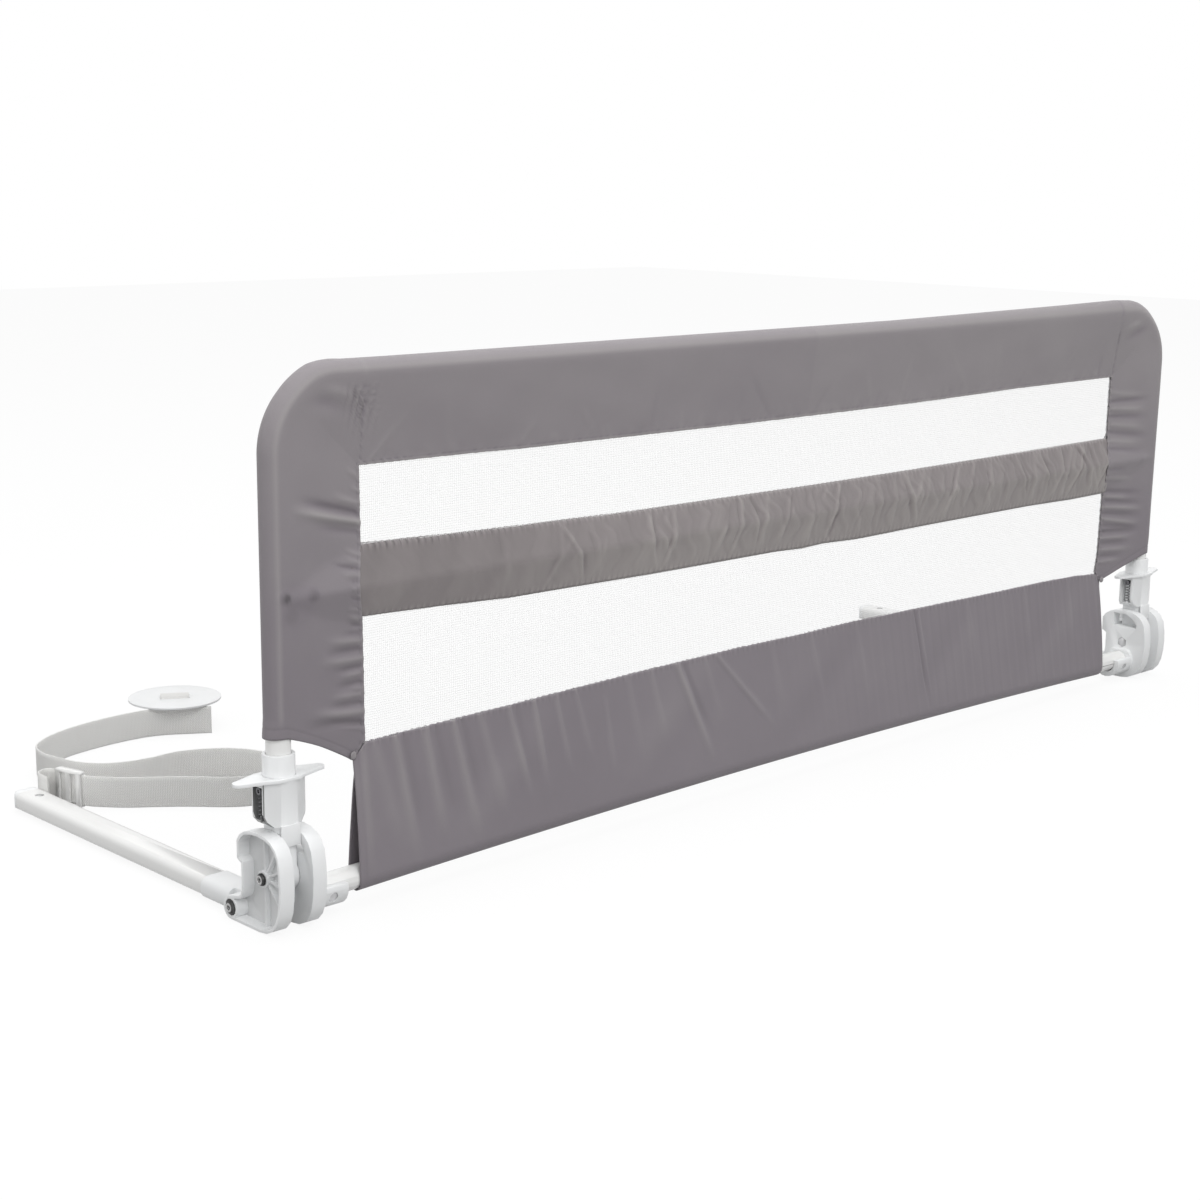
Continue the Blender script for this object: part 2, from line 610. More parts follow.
# Skirt's front: from its top edge down
SKIRT_FOLDS = [
    (-0.5075, 0, 0.004, 0, 0.12, 0.7), (-0.4965, 0.25, 0.006, 0.004, 0.105, 0.5),
    (-0.477, 0.15, 0.0048, 0, 0.112, 1.1), (-0.467, 0.15, 0.004, 0, 0.09, -0.5),
    (-0.4475, 0.15, 0.0048, 0, 0.1, 1.1), (-0.436, 0.2, 0.0042, 0, 0.09, -0.5),
    (-0.419, 0.2, 0.0046, 0, 0.108, 1.1), (-0.4085, 0.2, 0.004, 0, 0.085, -0.5),
    (-0.391, 0.25, 0.005, 0, 0.1, 0.7), (-0.361, 0.25, 0.0036, 0, 0.092, 1),
    (-0.352, 0.2, 0.0032, 0, 0.07, -0.4), (-0.3335, 0.15, 0.0036, 0, 0.088, 1),
    (-0.309, 0.2, 0.0032, 0, 0.08, 0.8), (-0.2865, 0.25, 0.0034, 0, 0.074, 0.6),
    (-0.251, 0.1, 0.003, 0.02, 0.09, 0.5), (-0.225, 0.2, 0.004, 0, 0.08, 0.4),
    (-0.197, 0.25, 0.0036, 0, 0.07, 0.5), (-0.165, 0.45, 0.0036, 0, 0.1, 1.1),
    (-0.156, 0.45, 0.003, 0, 0.08, -0.7), (-0.129, 0.3, 0.004, 0, 0.07, 0.3),
    (-0.1105, 0.95, 0.0032, 0.004, 0.085, 0.7), (-0.04, 0.2, 0.0045, 0, 0.08, 0.3),
    (0.015, 0.25, 0.004, 0, 0.08, 0.4), (0.082, 0.2, 0.004, 0, 0.08, 0.3),
    (0.1745, 0.2, 0.0016, 0, 0.11, -0.8), (0.179, 0.2, 0.0018, 0, 0.1, 0.5),
    (0.26, 0.2, 0.005, 0, 0.08, 0.3), (0.36, 0.15, 0.005, 0, 0.08, 0.3),
    (0.442, 0.1, 0.0045, 0, 0.08, 0.3),
]
# Places along the band where folds cross over the rail, with their strength
BAND_FOLDS = [
    (-0.367, 0.3), (-0.311, 0.5), (-0.291, 0.9), (-0.266, 0.4), (-0.199, 1.2), (-0.177, 0.8),
    (-0.112, 0.6), (-0.092, 1.1), (-0.073, 0.7), (-0.058, 0.6), (-0.028, 0.9), (0.005, 0.5),
    (0.04, 1.3), (0.072, 0.4), (0.105, 0.6), (0.129, 0.4), (0.158, 1.2), (0.18, 0.6),
    (0.202, 0.4), (0.224, 1.2), (0.25, 0.5), (0.284, 0.8), (0.309, 0.5), (0.341, 0.9),
    (0.362, 0.5), (0.38, 1), (0.408, 0.6), (0.424, 0.7), (0.442, 1.1), (0.46, 1.1),
    (0.479, 0.7), (0.493, 0.8),
]
# Screws and joint that show through the cloth: X, Z, radius, how much darker, how far they stand out
SHOWING = [
    (-0.5809, 0.2508, 0.0045, 1.9, 0.5), (-0.5562, 0.2500, 0.0048, 1.4, 0.5),
    (-0.5700, 0.2440, 0.0170, 0.30, 0.0), (-0.5760, 0.2380, 0.0070, 0.6, 0.2),
    (0.5640, 0.2480, 0.0045, 0.25, 0.3),
]


def soft_max(first, second, softness):
    return (first + second + np.sqrt((first - second) ** 2 + softness ** 2)) / 2


def fold_sum(along, across, folds):
    """Height of all the folds: along places them and across runs from their first end."""
    total = np.zeros_like(along)
    for place, lean, width, start, end, height in folds:
        share = (across - start) / (end - start)
        spread = width * (0.75 + 0.6 * np.clip(share, 0, 1))
        body = np.exp(-((along - place - lean * (across - start)) / spread) ** 2)
        total += height * body * smoothstep(-0.15, 0.05, share) * (1 - smoothstep(0.5, 1.05, share))
    return total


def loose_folds(seed, low, high, spacing, reach, strength, lean=0.4):
    """Folds at uneven places, for the sides that the photo doesn't show."""
    source = random.Random(seed)
    folds = []
    place = low
    while place < high:
        height = strength * source.uniform(0.4, 1.0) * source.choice((1, 1, -1))
        folds.append((place, source.uniform(-lean, lean), source.uniform(0.0016, 0.0034), 0.0,
                      reach * source.uniform(0.35, 1.0), height))
        place += spacing * source.uniform(0.5, 1.5)
    return folds


def rail_hull(rise, half, radius):
    """Half thickness of cloth that is drawn over a round rail down to a flat edge at half."""
    lean = np.arccos((radius - SEAM_HALF) / half)
    flat = SEAM_HALF + (half - np.abs(rise)) / np.tan(lean)
    round_part = np.sqrt(np.clip(radius ** 2 - rise ** 2, 0, None))
    return np.where(np.abs(rise) > radius * np.cos(lean), flat, np.maximum(round_part, 0))


def ticks(value, seed, length):
    """Short uneven stitches along a seam, from -1 to 1."""
    return np.clip(waves(value, seed, length) * 1.6 + 0.6 * waves(value, seed + 1, length * 0.43), -1, 1)


# Inner edge of the cover from the hem's corner to the window's top corner: run, X and Z for each half
EDGE_RUNS = np.array([0, 0.010, 0.026, 0.045, 0.075, 0.140, CORNER_RUN, COVER_RUN / 2])
EDGE_LEFT = np.array([0.5163, 0.5118, 0.5045, 0.5050, 0.5050, 0.5060, 0.5070, 0.0])
EDGE_RIGHT = np.array([0.5050, 0.5010, 0.4970, 0.5005, 0.5015, 0.5035, 0.5045, 0.0])
EDGE_LEFT_Z = np.array([0.1150, 0.1205, 0.1290, 0.147, 0.175, 0.238, WINDOW_TOP, WINDOW_TOP])
EDGE_RIGHT_Z = np.array([0.1175, 0.1225, 0.1290, 0.147, 0.175, 0.238, WINDOW_TOP, WINDOW_TOP])

LEFT_HEM_ARCH = 0.0024

# Middle and direction of the diagonal fold in each upper corner
CORNER_FOLD_X, CORNER_FOLD_Z = 0.5420, 0.4010
CORNER_FOLD_COS, CORNER_FOLD_SIN = 0.94, 0.34

# How far the border's edge goes along the rail for each step that it stands out over it
EDGE_SHIFT = 0.9

# Slack of the cloth, as (place, height) in millimetres: how far it stands off the tube, by the run
# from each hem, and how far its edges rise above the straight line, by X
LEFT_STAND = [(0, 1.4), (15, 0), (250, 0), (275, 1.8), (300, 0.2), (340, 0)]
RIGHT_STAND = [(0, 0), (60, 0.5), (140, 2.8), (180, 4.3), (225, 4.6), (255, 2.8), (275, 3.6),
               (320, 5.3), (420, 3.6), (580, 1.6), (700, 0.2), (820, 0)]
WINDOW_EDGE = [(-510, 0), (-400, -0.6), (-340, -1.5), (-80, -2.3), (60, -1.8), (200, -0.7),
               (330, 1.6), (510, 2.3)]
BAND_HEAD = [(-505, 3.5), (-400, 0), (-240, -3), (0, -4.4), (160, -4.2), (300, -3.2), (500, -1.9)]
BAND_FOOT = [(-505, 4.5), (-430, 1.8), (-360, -1.5), (-200, -3.3), (-40, -3.5), (0, -5), (30, -4),
             (80, -5.6), (180, -4.6), (360, -4), (440, -5.2), (500, -4.8)]
SKIRT_HEAD = [(-500, -0.8), (-360, -1.6), (-200, -0.8), (-80, -0.4), (0, -1.2), (80, -0.2), (190, -1),
              (320, -0.8), (400, 0.3), (460, 0.2), (490, -1.2)]


def slack(place, points):
    """Height at a place, in metres, from a list of points in millimetres."""
    places, heights = np.array(points).T / 1000
    return np.interp(place, places, heights)


def cover_frame(run, left):
    """Tube's axis, its outward direction and the inner edge, with X as a distance from the middle."""
    hem = np.where(left, POST_HEM_Z, POST_HEM_Z - 0.0055)
    bend_z = TOP_Z - BEND_RADIUS
    turn = np.clip((run - POST_RUN) / BEND_RUN, 0, 1) * math.pi / 2
    in_bend = run > POST_RUN
    x = np.where(in_bend, POST_X - BEND_RADIUS * (1 - np.cos(turn)), POST_X)
    z = np.where(in_bend, bend_z + BEND_RADIUS * np.sin(turn), hem + run / POST_RUN * (bend_z - hem))
    out_x = np.where(in_bend, np.cos(turn), 1.0)
    out_z = np.where(in_bend, np.sin(turn), 0.0)
    x = x - np.clip(run - POST_RUN - BEND_RUN, 0, None)
    edge_x = np.where(left, np.interp(run, EDGE_RUNS, EDGE_LEFT), np.interp(run, EDGE_RUNS, EDGE_RIGHT))
    edge_z = np.where(left, np.interp(run, EDGE_RUNS, EDGE_LEFT_Z), np.interp(run, EDGE_RUNS, EDGE_RIGHT_Z))
    return x, z, out_x, out_z, edge_x, edge_z, turn


def cover_shape(along, across):
    cloth = bpy.context.scene.rail_cloth
    side_run = CORNER_RUN + 0.05
    whole = np.interp(along, [0, 0.31, 0.69, 1], [0, side_run, COVER_RUN - side_run, COVER_RUN])
    left = whole <= COVER_RUN / 2
    run = np.where(left, whole, COVER_RUN - whole)
    x, z, out_x, out_z, edge_x, edge_z, turn = cover_frame(run, left)
    mirror = np.where(left, -1.0, 1.0)
    on_top = run > CORNER_RUN
    edge_z = edge_z + np.where(on_top, slack(edge_x * mirror, WINDOW_EDGE), 0.0)
    stand = np.where(left, slack(run, LEFT_STAND), slack(run, RIGHT_STAND))
    reach = np.hypot(x - edge_x, z - edge_z)
    lean = np.arcsin((SLEEVE_RADIUS - SEAM_HALF) / reach)
    back_share = 1 - FRONT_SHARE - ROUND_SHARE
    on_front = across <= FRONT_SHARE
    on_back = across >= FRONT_SHARE + ROUND_SHARE
    on_tube = ~on_front & ~on_back
    flat = np.where(on_front, across / FRONT_SHARE, (1 - across) / back_share)
    flat = np.clip(flat, 0, 1) ** 1.3
    round_share = np.clip((across - FRONT_SHARE) / ROUND_SHARE, 0, 1)
    side = np.where(across < FRONT_SHARE + ROUND_SHARE / 2, -1.0, 1.0)
    angle = -math.pi / 2 - lean + round_share * (math.pi + 2 * lean)
    ring_out = SLEEVE_RADIUS * np.cos(angle) + stand * np.clip(0.35 + 0.65 * np.cos(angle), 0, 1)
    ring_y = SLEEVE_RADIUS * np.sin(angle)
    tube_x = x + ring_out * out_x
    tube_z = z + ring_out * out_z
    share = np.where(on_tube, 1.0, flat)
    px = edge_x + (tube_x - edge_x) * share
    pz = edge_z + (tube_z - edge_z) * share
    # The left hem is arched a little between the post and the inner edge
    arch = LEFT_HEM_ARCH * np.exp(-(run / 0.012) ** 2) * np.sin(math.pi * share)
    pz = pz + np.where(left, arch, 0.0)
    thick = np.where(on_tube, np.abs(ring_y), SEAM_HALF + (np.abs(ring_y) - SEAM_HALF) * share)
    away = share * reach
    wx = px * mirror
    # Over the rail and the tees the cloth stands away from the straight line
    near_edge = np.clip(1 - away / 0.045, 0, 1)
    rise = pz - MID_Z
    hull = rail_hull(rise, 0.0370 - 0.0070 * near_edge, 0.0108 - 0.0011 * near_edge)
    over_rail = np.where(on_tube | on_top | (np.abs(rise) > 0.037), 0.0, hull)
    thick = np.where(on_tube, thick, np.where(over_rail > 0, soft_max(thick, over_rail, 0.0008), thick))
    climb = np.clip(over_rail - SEAM_HALF, 0, None) * np.exp(-(away / 0.018) ** 2)
    px = px - EDGE_SHIFT * climb * mirror
    wx = px * mirror
    # Folds on each face
    fold = np.zeros_like(px)
    flat_left = on_front & left & ~on_top
    flat_right = on_front & ~left & ~on_top
    fold = np.where(flat_left, fold_sum(pz, away, LEFT_FOLDS), fold)
    fold = np.where(flat_right, fold_sum(pz, away, RIGHT_FOLDS), fold)
    rear = loose_folds(23, 0.13, 0.335, 0.008, 0.06, 0.8)
    fold = np.where(on_back & ~on_top, fold_sum(pz, away, rear), fold)
    top = (loose_folds(31, -0.50, 0.50, 0.010, 0.020, 0.28, 0.6)
           + loose_folds(37, -0.5, 0.5, 0.07, 0.07, 0.35, 0.8))
    fold = np.where(~on_tube & on_top, fold + fold_sum(wx, away, top), fold)
    # Bunched cloth and a sewn seam above each top window corner, and the corner's own diagonal fold
    seam_x = POST_X - 0.0775
    from_seam = px - seam_x
    high = smoothstep(0.352, 0.395, pz)
    outer_bunch = 0.9 * np.exp(-((from_seam - 0.006) / 0.010) ** 2)
    inner_bunch = 0.5 * np.exp(-((from_seam + 0.008) / 0.007) ** 2)
    bunch = high * np.where(left, 1.0, 0.15) * (outer_bunch + inner_bunch)
    fold = fold + np.where(on_front | on_back, bunch * ticks(from_seam + 0.15 * (pz - 0.4), 47, 0.0065), 0.0)
    groove = np.exp(-(from_seam / 0.0011) ** 2) * smoothstep(WINDOW_TOP - 0.002, WINDOW_TOP + 0.002, pz)
    fold = fold - 0.5 * groove
    from_fold_x, from_fold_z = px - CORNER_FOLD_X, pz - CORNER_FOLD_Z
    length_wise = from_fold_x * CORNER_FOLD_COS + from_fold_z * CORNER_FOLD_SIN
    cross_wise = from_fold_z * CORNER_FOLD_COS - from_fold_x * CORNER_FOLD_SIN
    raised = 0.9 * np.exp(-(cross_wise / 0.0040) ** 2) * np.exp(-(length_wise / 0.020) ** 2)
    sunk = 0.8 * np.exp(-((cross_wise + 0.011) / 0.0055) ** 2) * np.exp(-(length_wise / 0.024) ** 2)
    fold = fold + np.where(on_front, raised - sunk, 0.0)
    calm = np.sin(np.clip(flat, 0, 1) * math.pi)
    rolling = waves(px * 1.3 + pz * 0.7, 5, 0.21) * 0.45 + waves(pz * 1.1 - px * 0.4, 8, 0.13) * 0.35
    settle = np.where(on_tube, 0.0, 1 - smoothstep(0.80, 0.97, flat))
    sewn = 0.25 + 0.75 * smoothstep(0.0005, 0.0070, away)
    shown = np.zeros_like(px)
    stands = np.zeros_like(px)
    faces_front = on_front | (on_tube & (angle < 0))
    for spot_x, spot_z, size, dark, height in SHOWING:
        spot = np.exp(-(np.hypot(wx - spot_x, pz - spot_z) / size) ** 4) * faces_front
        shown += dark * spot
        stands += height * spot
    height = fold * settle * sewn + rolling * np.where(on_tube, 0.0, calm) + stands
    thick = thick + cloth.fold_height * height
    # A ridge along the whole tube where the cloth leaves it
    ridge = np.exp(-((angle + math.radians(66)) / 0.18) ** 2) * on_tube
    ridge = ridge * smoothstep(0.004, 0.020, run)
    swell = 0.00045 * ridge
    # Stitched inner edge, and the stitched hem at each foot
    pucker = cloth.pucker_height * np.exp(-(away / 0.0040) ** 2)
    beat = ticks(whole, 41, 0.0085)
    thick = thick + np.where(on_tube, 0.0, pucker * 0.45 * (beat + 0.6))
    hem_line = np.exp(-((run - 0.0085) / 0.0009) ** 2) + 0.8 * np.exp(-(run / 0.0011) ** 2)
    thick = thick - 0.00025 * hem_line
    binding = np.exp(-(away / 0.0022) ** 4) * on_top
    stitch = np.exp(-((away - 0.0032) / 0.0008) ** 2)
    # The cloth is a little paler higher up, more so on the right
    pale = smoothstep(0.15, 0.41, pz) * 0.62 + np.where(left, 0.0, 0.16 * smoothstep(0.12, 0.25, pz))
    tone = fold * np.where(left, 0.60, 0.85) * settle + 0.85 * ridge * (1 - 0.35 * pale) - 0.8 * shown + pale
    tone = tone + 0.7 * binding - 0.45 * hem_line - 0.35 * stitch + 0.45 * beat * stitch + 0.5 * groove * beat
    edge_light = np.exp(-((away - 0.0012) / 0.0010) ** 2) * ~on_top
    tone = tone + 0.35 * edge_light * ~on_tube
    normal_y = np.where(on_tube, np.sin(angle), side)
    normal_out = np.where(on_tube, np.cos(angle), 0)
    py = side * thick + swell * normal_y
    pz = pz + swell * normal_out * out_z + np.where(on_top, pucker * beat * 0.25, 0)
    px = px + swell * normal_out * out_x + np.where(on_top, 0, pucker * beat * 0.22)
    round_length = reach + (angle + 1.6) * SLEEVE_RADIUS
    length = np.where(on_front, away, np.where(on_back, WEAVE_GIRTH - away, round_length))
    places = np.stack([px * mirror, py + POST_Y, pz], 1)
    return places, np.stack([whole, length], 1), tone


BAND_LEFT = -0.5175
BAND_RIGHT = 0.5065

# The skirt's side edges at its top and foot, by X
SKIRT_LEFT_TOP, SKIRT_LEFT_FOOT = -0.5163, -0.5180
SKIRT_RIGHT_TOP, SKIRT_RIGHT_FOOT = 0.5056, 0.5085

# Its upper corners are cut along the cover's seam: two places in X, and the height at each
SKIRT_LEFT_CUT = ((SKIRT_LEFT_TOP, -0.5045), (0.1149, 0.1287))
SKIRT_RIGHT_CUT = ((0.4940, SKIRT_RIGHT_TOP), (0.1300, 0.1175))

# Side edges of both nets, by X, which lie behind the cover's inner edges
NET_SIDES = (-0.5075, 0.5070)

# Half the middle rail's height and a little more, as the band lies over it
RAIL_CLEAR = (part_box("mid_rail")[1].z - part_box("mid_rail")[0].z) / 2 + 0.0009


def band_shape(along, across):
    cloth = bpy.context.scene.rail_cloth
    half = (BAND_HIGH.z - BAND_LOW.z) / 2
    x = BAND_LEFT + along * (BAND_RIGHT - BAND_LEFT)
    side = np.where(across < 0.5, -1.0, 1.0)
    share = np.where(across < 0.5, across / 0.5, (1 - across) / 0.5)
    rise = -half + share * 2 * half
    thick = rail_hull(rise, half, 0.0092)
    loose = 1 - np.exp(-((half - np.abs(rise)) / 0.005) ** 2)
    fold = np.zeros_like(x)
    for centre, strength in BAND_FOLDS:
        source = random.Random(int((centre + 1) * 10000))
        lean = source.uniform(0.05, 0.50) * source.choice((-1, 1, 1))
        spread = source.uniform(0.0017, 0.0030)
        bend = source.uniform(-0.004, 0.004) * np.cos(rise / half * 2.2 + source.uniform(-1, 1))
        first = np.exp(-((x - centre - lean * rise - bend) / spread) ** 2)
        middle_rise = source.uniform(-0.014, 0.014)
        other_lean = source.uniform(0.2, 0.9) * source.choice((-1, 1))
        other_shift = source.uniform(-0.004, 0.009)
        other = np.exp(-((x - centre - other_shift - other_lean * rise) / (spread * 0.9)) ** 2)
        other = other * np.exp(-((rise - middle_rise) / 0.011) ** 2)
        shift = source.uniform(0.0030, 0.0055) * source.choice((-1, 1))
        hollow = np.exp(-((x - centre - shift - lean * 0.8 * rise - bend) / (spread * 0.9)) ** 2)
        hollow = hollow * np.exp(-((rise + middle_rise) / 0.017) ** 2)
        fold += np.where(side < 0, strength * (first * 0.9 + other * 0.8 - hollow * 1.2), 0)
    fold = np.where(side > 0, fold_sum(x, rise + half, loose_folds(61, -0.5, 0.5, 0.016, 0.05, 0.9)), fold)
    calm = smoothstep(-0.42, -0.05, x)
    warped = x + 0.0035 * np.sin(rise * 140 + x * 31) + 0.0025 * np.sin(rise * 260 - x * 57)
    fine = waves(warped + rise * 0.20, 63, 0.019) * (0.12 + 0.26 * calm)
    fine = fine + waves(x - rise * 0.5, 67, 0.070) * 0.3
    under_border = smoothstep(0.0, 0.012, np.minimum(x - BAND_LEFT, BAND_RIGHT - x) - 0.002)
    fold = (fold + fine) * under_border
    thick = thick - 0.0007 * (1 - under_border) * (thick > 0.004)
    edge = np.exp(-((half - np.abs(rise)) / 0.0042) ** 2)
    beat = ticks(x + 0.1 * np.sign(rise), 71, 0.0062)
    upper, lower = slack(x, BAND_HEAD), slack(x, BAND_FOOT)
    shift = np.where(rise > 0, upper, lower) * (np.abs(rise) / half) ** 2
    z = MID_Z + rise + shift + edge * cloth.pucker_height * 0.25 * beat * np.sign(rise)
    # No hollow goes down to the rail
    over_rail = np.sqrt(np.clip(RAIL_CLEAR ** 2 - (rise + shift) ** 2, 0, None))
    drawn = soft_max(thick + loose * fold * cloth.fold_height * 0.95, over_rail, 0.0003)
    y = side * drawn + edge * cloth.pucker_height * 0.5 * beat
    shaded_end = 0.75 * (1 - smoothstep(-0.46, -0.22, x))
    lit_half = 0.75 * (1 - smoothstep(-0.003, 0.003, rise))
    tone = fold * 0.70 * loose + 0.95 * edge * beat - shaded_end + lit_half
    return np.stack([x, y + POST_Y, z], 1), np.stack([x, rise + side * half], 1), tone


def bar_height(x):
    share = np.clip(np.abs(x) / BAR_BOW_HALF, 0, 1)
    return BAR_END_Z + BAR_BOW * (1 - share * share)


def skirt_top(x):
    """Height of the skirt's top edge above the bar, with the corners cut along the cover's seam."""
    top = SKIRT_RISE + slack(x, SKIRT_HEAD)
    left = np.interp(x, *SKIRT_LEFT_CUT) - bar_height(x)
    right = np.interp(x, *SKIRT_RIGHT_CUT) - bar_height(x)
    left = np.where(x < SKIRT_LEFT_CUT[0][1], left, 1.0)
    right = np.where(x > SKIRT_RIGHT_CUT[0][0], right, 1.0)
    return np.minimum(top, np.minimum(left, right))


def skirt_shape(along, across):
    cloth = bpy.context.scene.rail_cloth
    radius = SLEEVE_RADIUS
    lean = math.asin((radius - SEAM_HALF) / SKIRT_RISE)
    on_front = across <= FRONT_SHARE
    on_back = across >= FRONT_SHARE + ROUND_SHARE
    on_bar = ~on_front & ~on_back
    flat = np.where(on_front, across / FRONT_SHARE, (1 - across) / (1 - FRONT_SHARE - ROUND_SHARE))
    flat = np.where(on_bar, 1.0, np.clip(flat, 0, 1) ** 1.15)
    # The back's left edge starts a little further in than the front's
    behind = smoothstep(FRONT_SHARE, FRONT_SHARE + ROUND_SHARE, across) * 0.0042
    left_edge = SKIRT_LEFT_TOP + (SKIRT_LEFT_FOOT - SKIRT_LEFT_TOP) * flat + behind
    right_edge = SKIRT_RIGHT_TOP + (SKIRT_RIGHT_FOOT - SKIRT_RIGHT_TOP) * flat
    x = left_edge * (1 - along) + right_edge * along
    side = np.where(across < FRONT_SHARE + ROUND_SHARE / 2, -1.0, 1.0)
    turn = math.pi - lean + np.clip((across - FRONT_SHARE) / ROUND_SHARE, 0, 1) * (math.pi + 2 * lean)
    ring_y = np.abs(radius * np.cos(turn))
    ring_z = radius * np.sin(turn)
    top = skirt_top(x)
    thick = SEAM_HALF + (np.where(on_bar, ring_y, radius) - SEAM_HALF) * flat
    thick = np.where(on_bar, ring_y, thick)
    rise = top + (ring_z - top) * flat
    rise = np.where(on_bar, ring_z, rise)
    depth = SKIRT_RISE - rise
    fold = np.zeros_like(x)
    fold = np.where(on_front, fold_sum(x, depth, SKIRT_FOLDS), fold)
    fold = np.where(on_back, fold_sum(x, depth, loose_folds(89, -0.49, 0.5, 0.030, 0.10, 0.8, 0.25)), fold)
    fold = fold + np.where(on_bar, 0.0, np.sin(flat * math.pi) * 0.3 * waves(x + depth, 97, 0.16))
    settle = 1 - smoothstep(0.90, 1.0, flat) * 0.8
    pucker = np.exp(-((top - rise) / 0.0036) ** 2)
    beat = ticks(x, 101, 0.0066)
    puckered = cloth.pucker_height * 0.5 * pucker * (beat + 0.4)
    thick = thick + fold * cloth.fold_height * 1.15 * settle + puckered
    rise = rise + cloth.pucker_height * 0.35 * pucker * beat
    # The side edges flare a little, with a narrow stitched hem
    from_end = np.minimum(x - SKIRT_LEFT_FOOT, SKIRT_RIGHT_FOOT - x)
    flare = np.exp(-(from_end / 0.010) ** 2) * np.sin(np.clip(flat, 0, 1) * math.pi)
    thick = thick + 0.0014 * flare
    side_hem = np.exp(-((from_end - 0.0065) / 0.0009) ** 2)
    y = side * np.where(on_bar, ring_y, thick)
    y = np.where(on_bar, radius * np.cos(turn), y)
    streaks = waves(x - 0.12 * depth, 131, 0.013, 4) * smoothstep(-0.15, 0.35, x)
    tone = fold * 0.62 + 0.14 * streaks + 0.55 * pucker * beat - 0.25 * side_hem * ~on_bar
    tone = np.where(on_bar, -0.1, tone)
    places = np.stack([x, y + POST_Y, bar_height(x) + rise], 1)
    return places, np.stack([x, side * depth], 1), tone


def cloth_shell(obj, thickness):
    add_modifier(obj, "SOLIDIFY", thickness=thickness, offset=-1.0, use_rim=True, use_even_offset=False)
    select_only(obj)
    bpy.ops.object.shade_smooth()


# One operator for each piece or group of like pieces
class RAIL_OT_stage(bpy.types.Operator):
    """Floor, sky, soft lights and the camera"""

    bl_idname = "rail.stage"
    bl_label = "Studio"

    def execute(self, context):
        settings = context.scene.rail_stage
        scene = context.scene
        scene.view_settings.view_transform = "Standard"
        clear_selection()
        bpy.ops.object.camera_add(location=CAMERA_PLACE)
        camera = context.object
        camera.name = "photo_camera"
        turned = Matrix((CAMERA_RIGHT, CAMERA_UP, CAMERA_BACK)).transposed().to_4x4()
        camera.matrix_world = Matrix.Translation(camera.location) @ turned
        camera.data.sensor_width = 36.0
        camera.data.lens = CAMERA_LENS
        camera.data.clip_end = 60.0
        scene.camera = camera
        clear_selection()
        bpy.ops.mesh.primitive_plane_add(size=settings.floor_size, location=(0, 0, -0.0006))
        floor = context.object
        floor.name = "studio_floor"
        apply_place(floor)
        floor.data.materials.append(self.floor_finish())
        self.sky(scene, settings.sky_level)
        self.lamp("key_light", (-0.9, -2.4, 2.2), 2.6, settings.key_power)
        self.lamp("top_light", (0.2, 0.2, 3.4), 2.6, settings.key_power * 0.9)
        self.lamp("side_light", (-3.0, 0.6, 1.3), 2.4, settings.key_power * 0.22)
        return {"FINISHED"}

    def floor_finish(self):
        made = Finish("studio_floor")
        made.set(Roughness=0.9)
        path = made.node("ShaderNodeLightPath")
        tone = made.node("ShaderNodeMix", data_type="RGBA")
        tone.inputs[6].default_value = (0.30, 0.30, 0.30, 1)
        tone.inputs[7].default_value = (0.97, 0.97, 0.97, 1)
        made.link(path.outputs["Is Camera Ray"], tone.inputs[0])
        made.link(tone.outputs[2], made.shader.inputs["Base Color"])
        seen = made.math("MAXIMUM", path.outputs["Is Camera Ray"], path.outputs["Is Glossy Ray"])
        seen = made.math("MAXIMUM", seen, path.outputs["Is Transmission Ray"])
        white = made.node("ShaderNodeEmission")
        white.inputs["Color"].default_value = (1, 1, 1, 1)
        white.inputs["Strength"].default_value = 1.0
        mix = made.node("ShaderNodeMixShader")
        made.link(made.math("MULTIPLY", seen, 0.9), mix.inputs[0])
        made.link(made.shader.outputs[0], mix.inputs[1])
        made.link(white.outputs[0], mix.inputs[2])
        made.link(mix.outputs[0], made.output.inputs["Surface"])
        return made.material

    def sky(self, scene, level):
        world = bpy.data.worlds.new("studio_sky")
        scene.world = world
        world.use_nodes = True
        nodes, links = world.node_tree.nodes, world.node_tree.links
        nodes.clear()
        path = nodes.new("ShaderNodeLightPath")
        seen = path.outputs["Is Camera Ray"]
        for kind in ("Is Glossy Ray", "Is Transmission Ray"):
            either = nodes.new("ShaderNodeMath")
            either.operation = "MAXIMUM"
            links.new(seen, either.inputs[0])
            links.new(path.outputs[kind], either.inputs[1])
            seen = either.outputs[0]
        strength = nodes.new("ShaderNodeMapRange")
        strength.inputs["To Min"].default_value = level
        strength.inputs["To Max"].default_value = 1.0
        links.new(seen, strength.inputs["Value"])
        background = nodes.new("ShaderNodeBackground")
        background.inputs["Color"].default_value = (1, 1, 1, 1)
        links.new(strength.outputs["Result"], background.inputs["Strength"])
        output = nodes.new("ShaderNodeOutputWorld")
        links.new(background.outputs[0], output.inputs["Surface"])

    def lamp(self, name, place, size, power):
        clear_selection()
        bpy.ops.object.light_add(type="AREA", location=place)
        lamp = bpy.context.object
        lamp.name = name
        lamp.data.shape = "DISK"
        lamp.data.size = size
        lamp.data.energy = power
        lamp.rotation_euler = (Vector((0, 0, 0.15)) - Vector(place)).to_track_quat("-Z", "Y").to_euler()


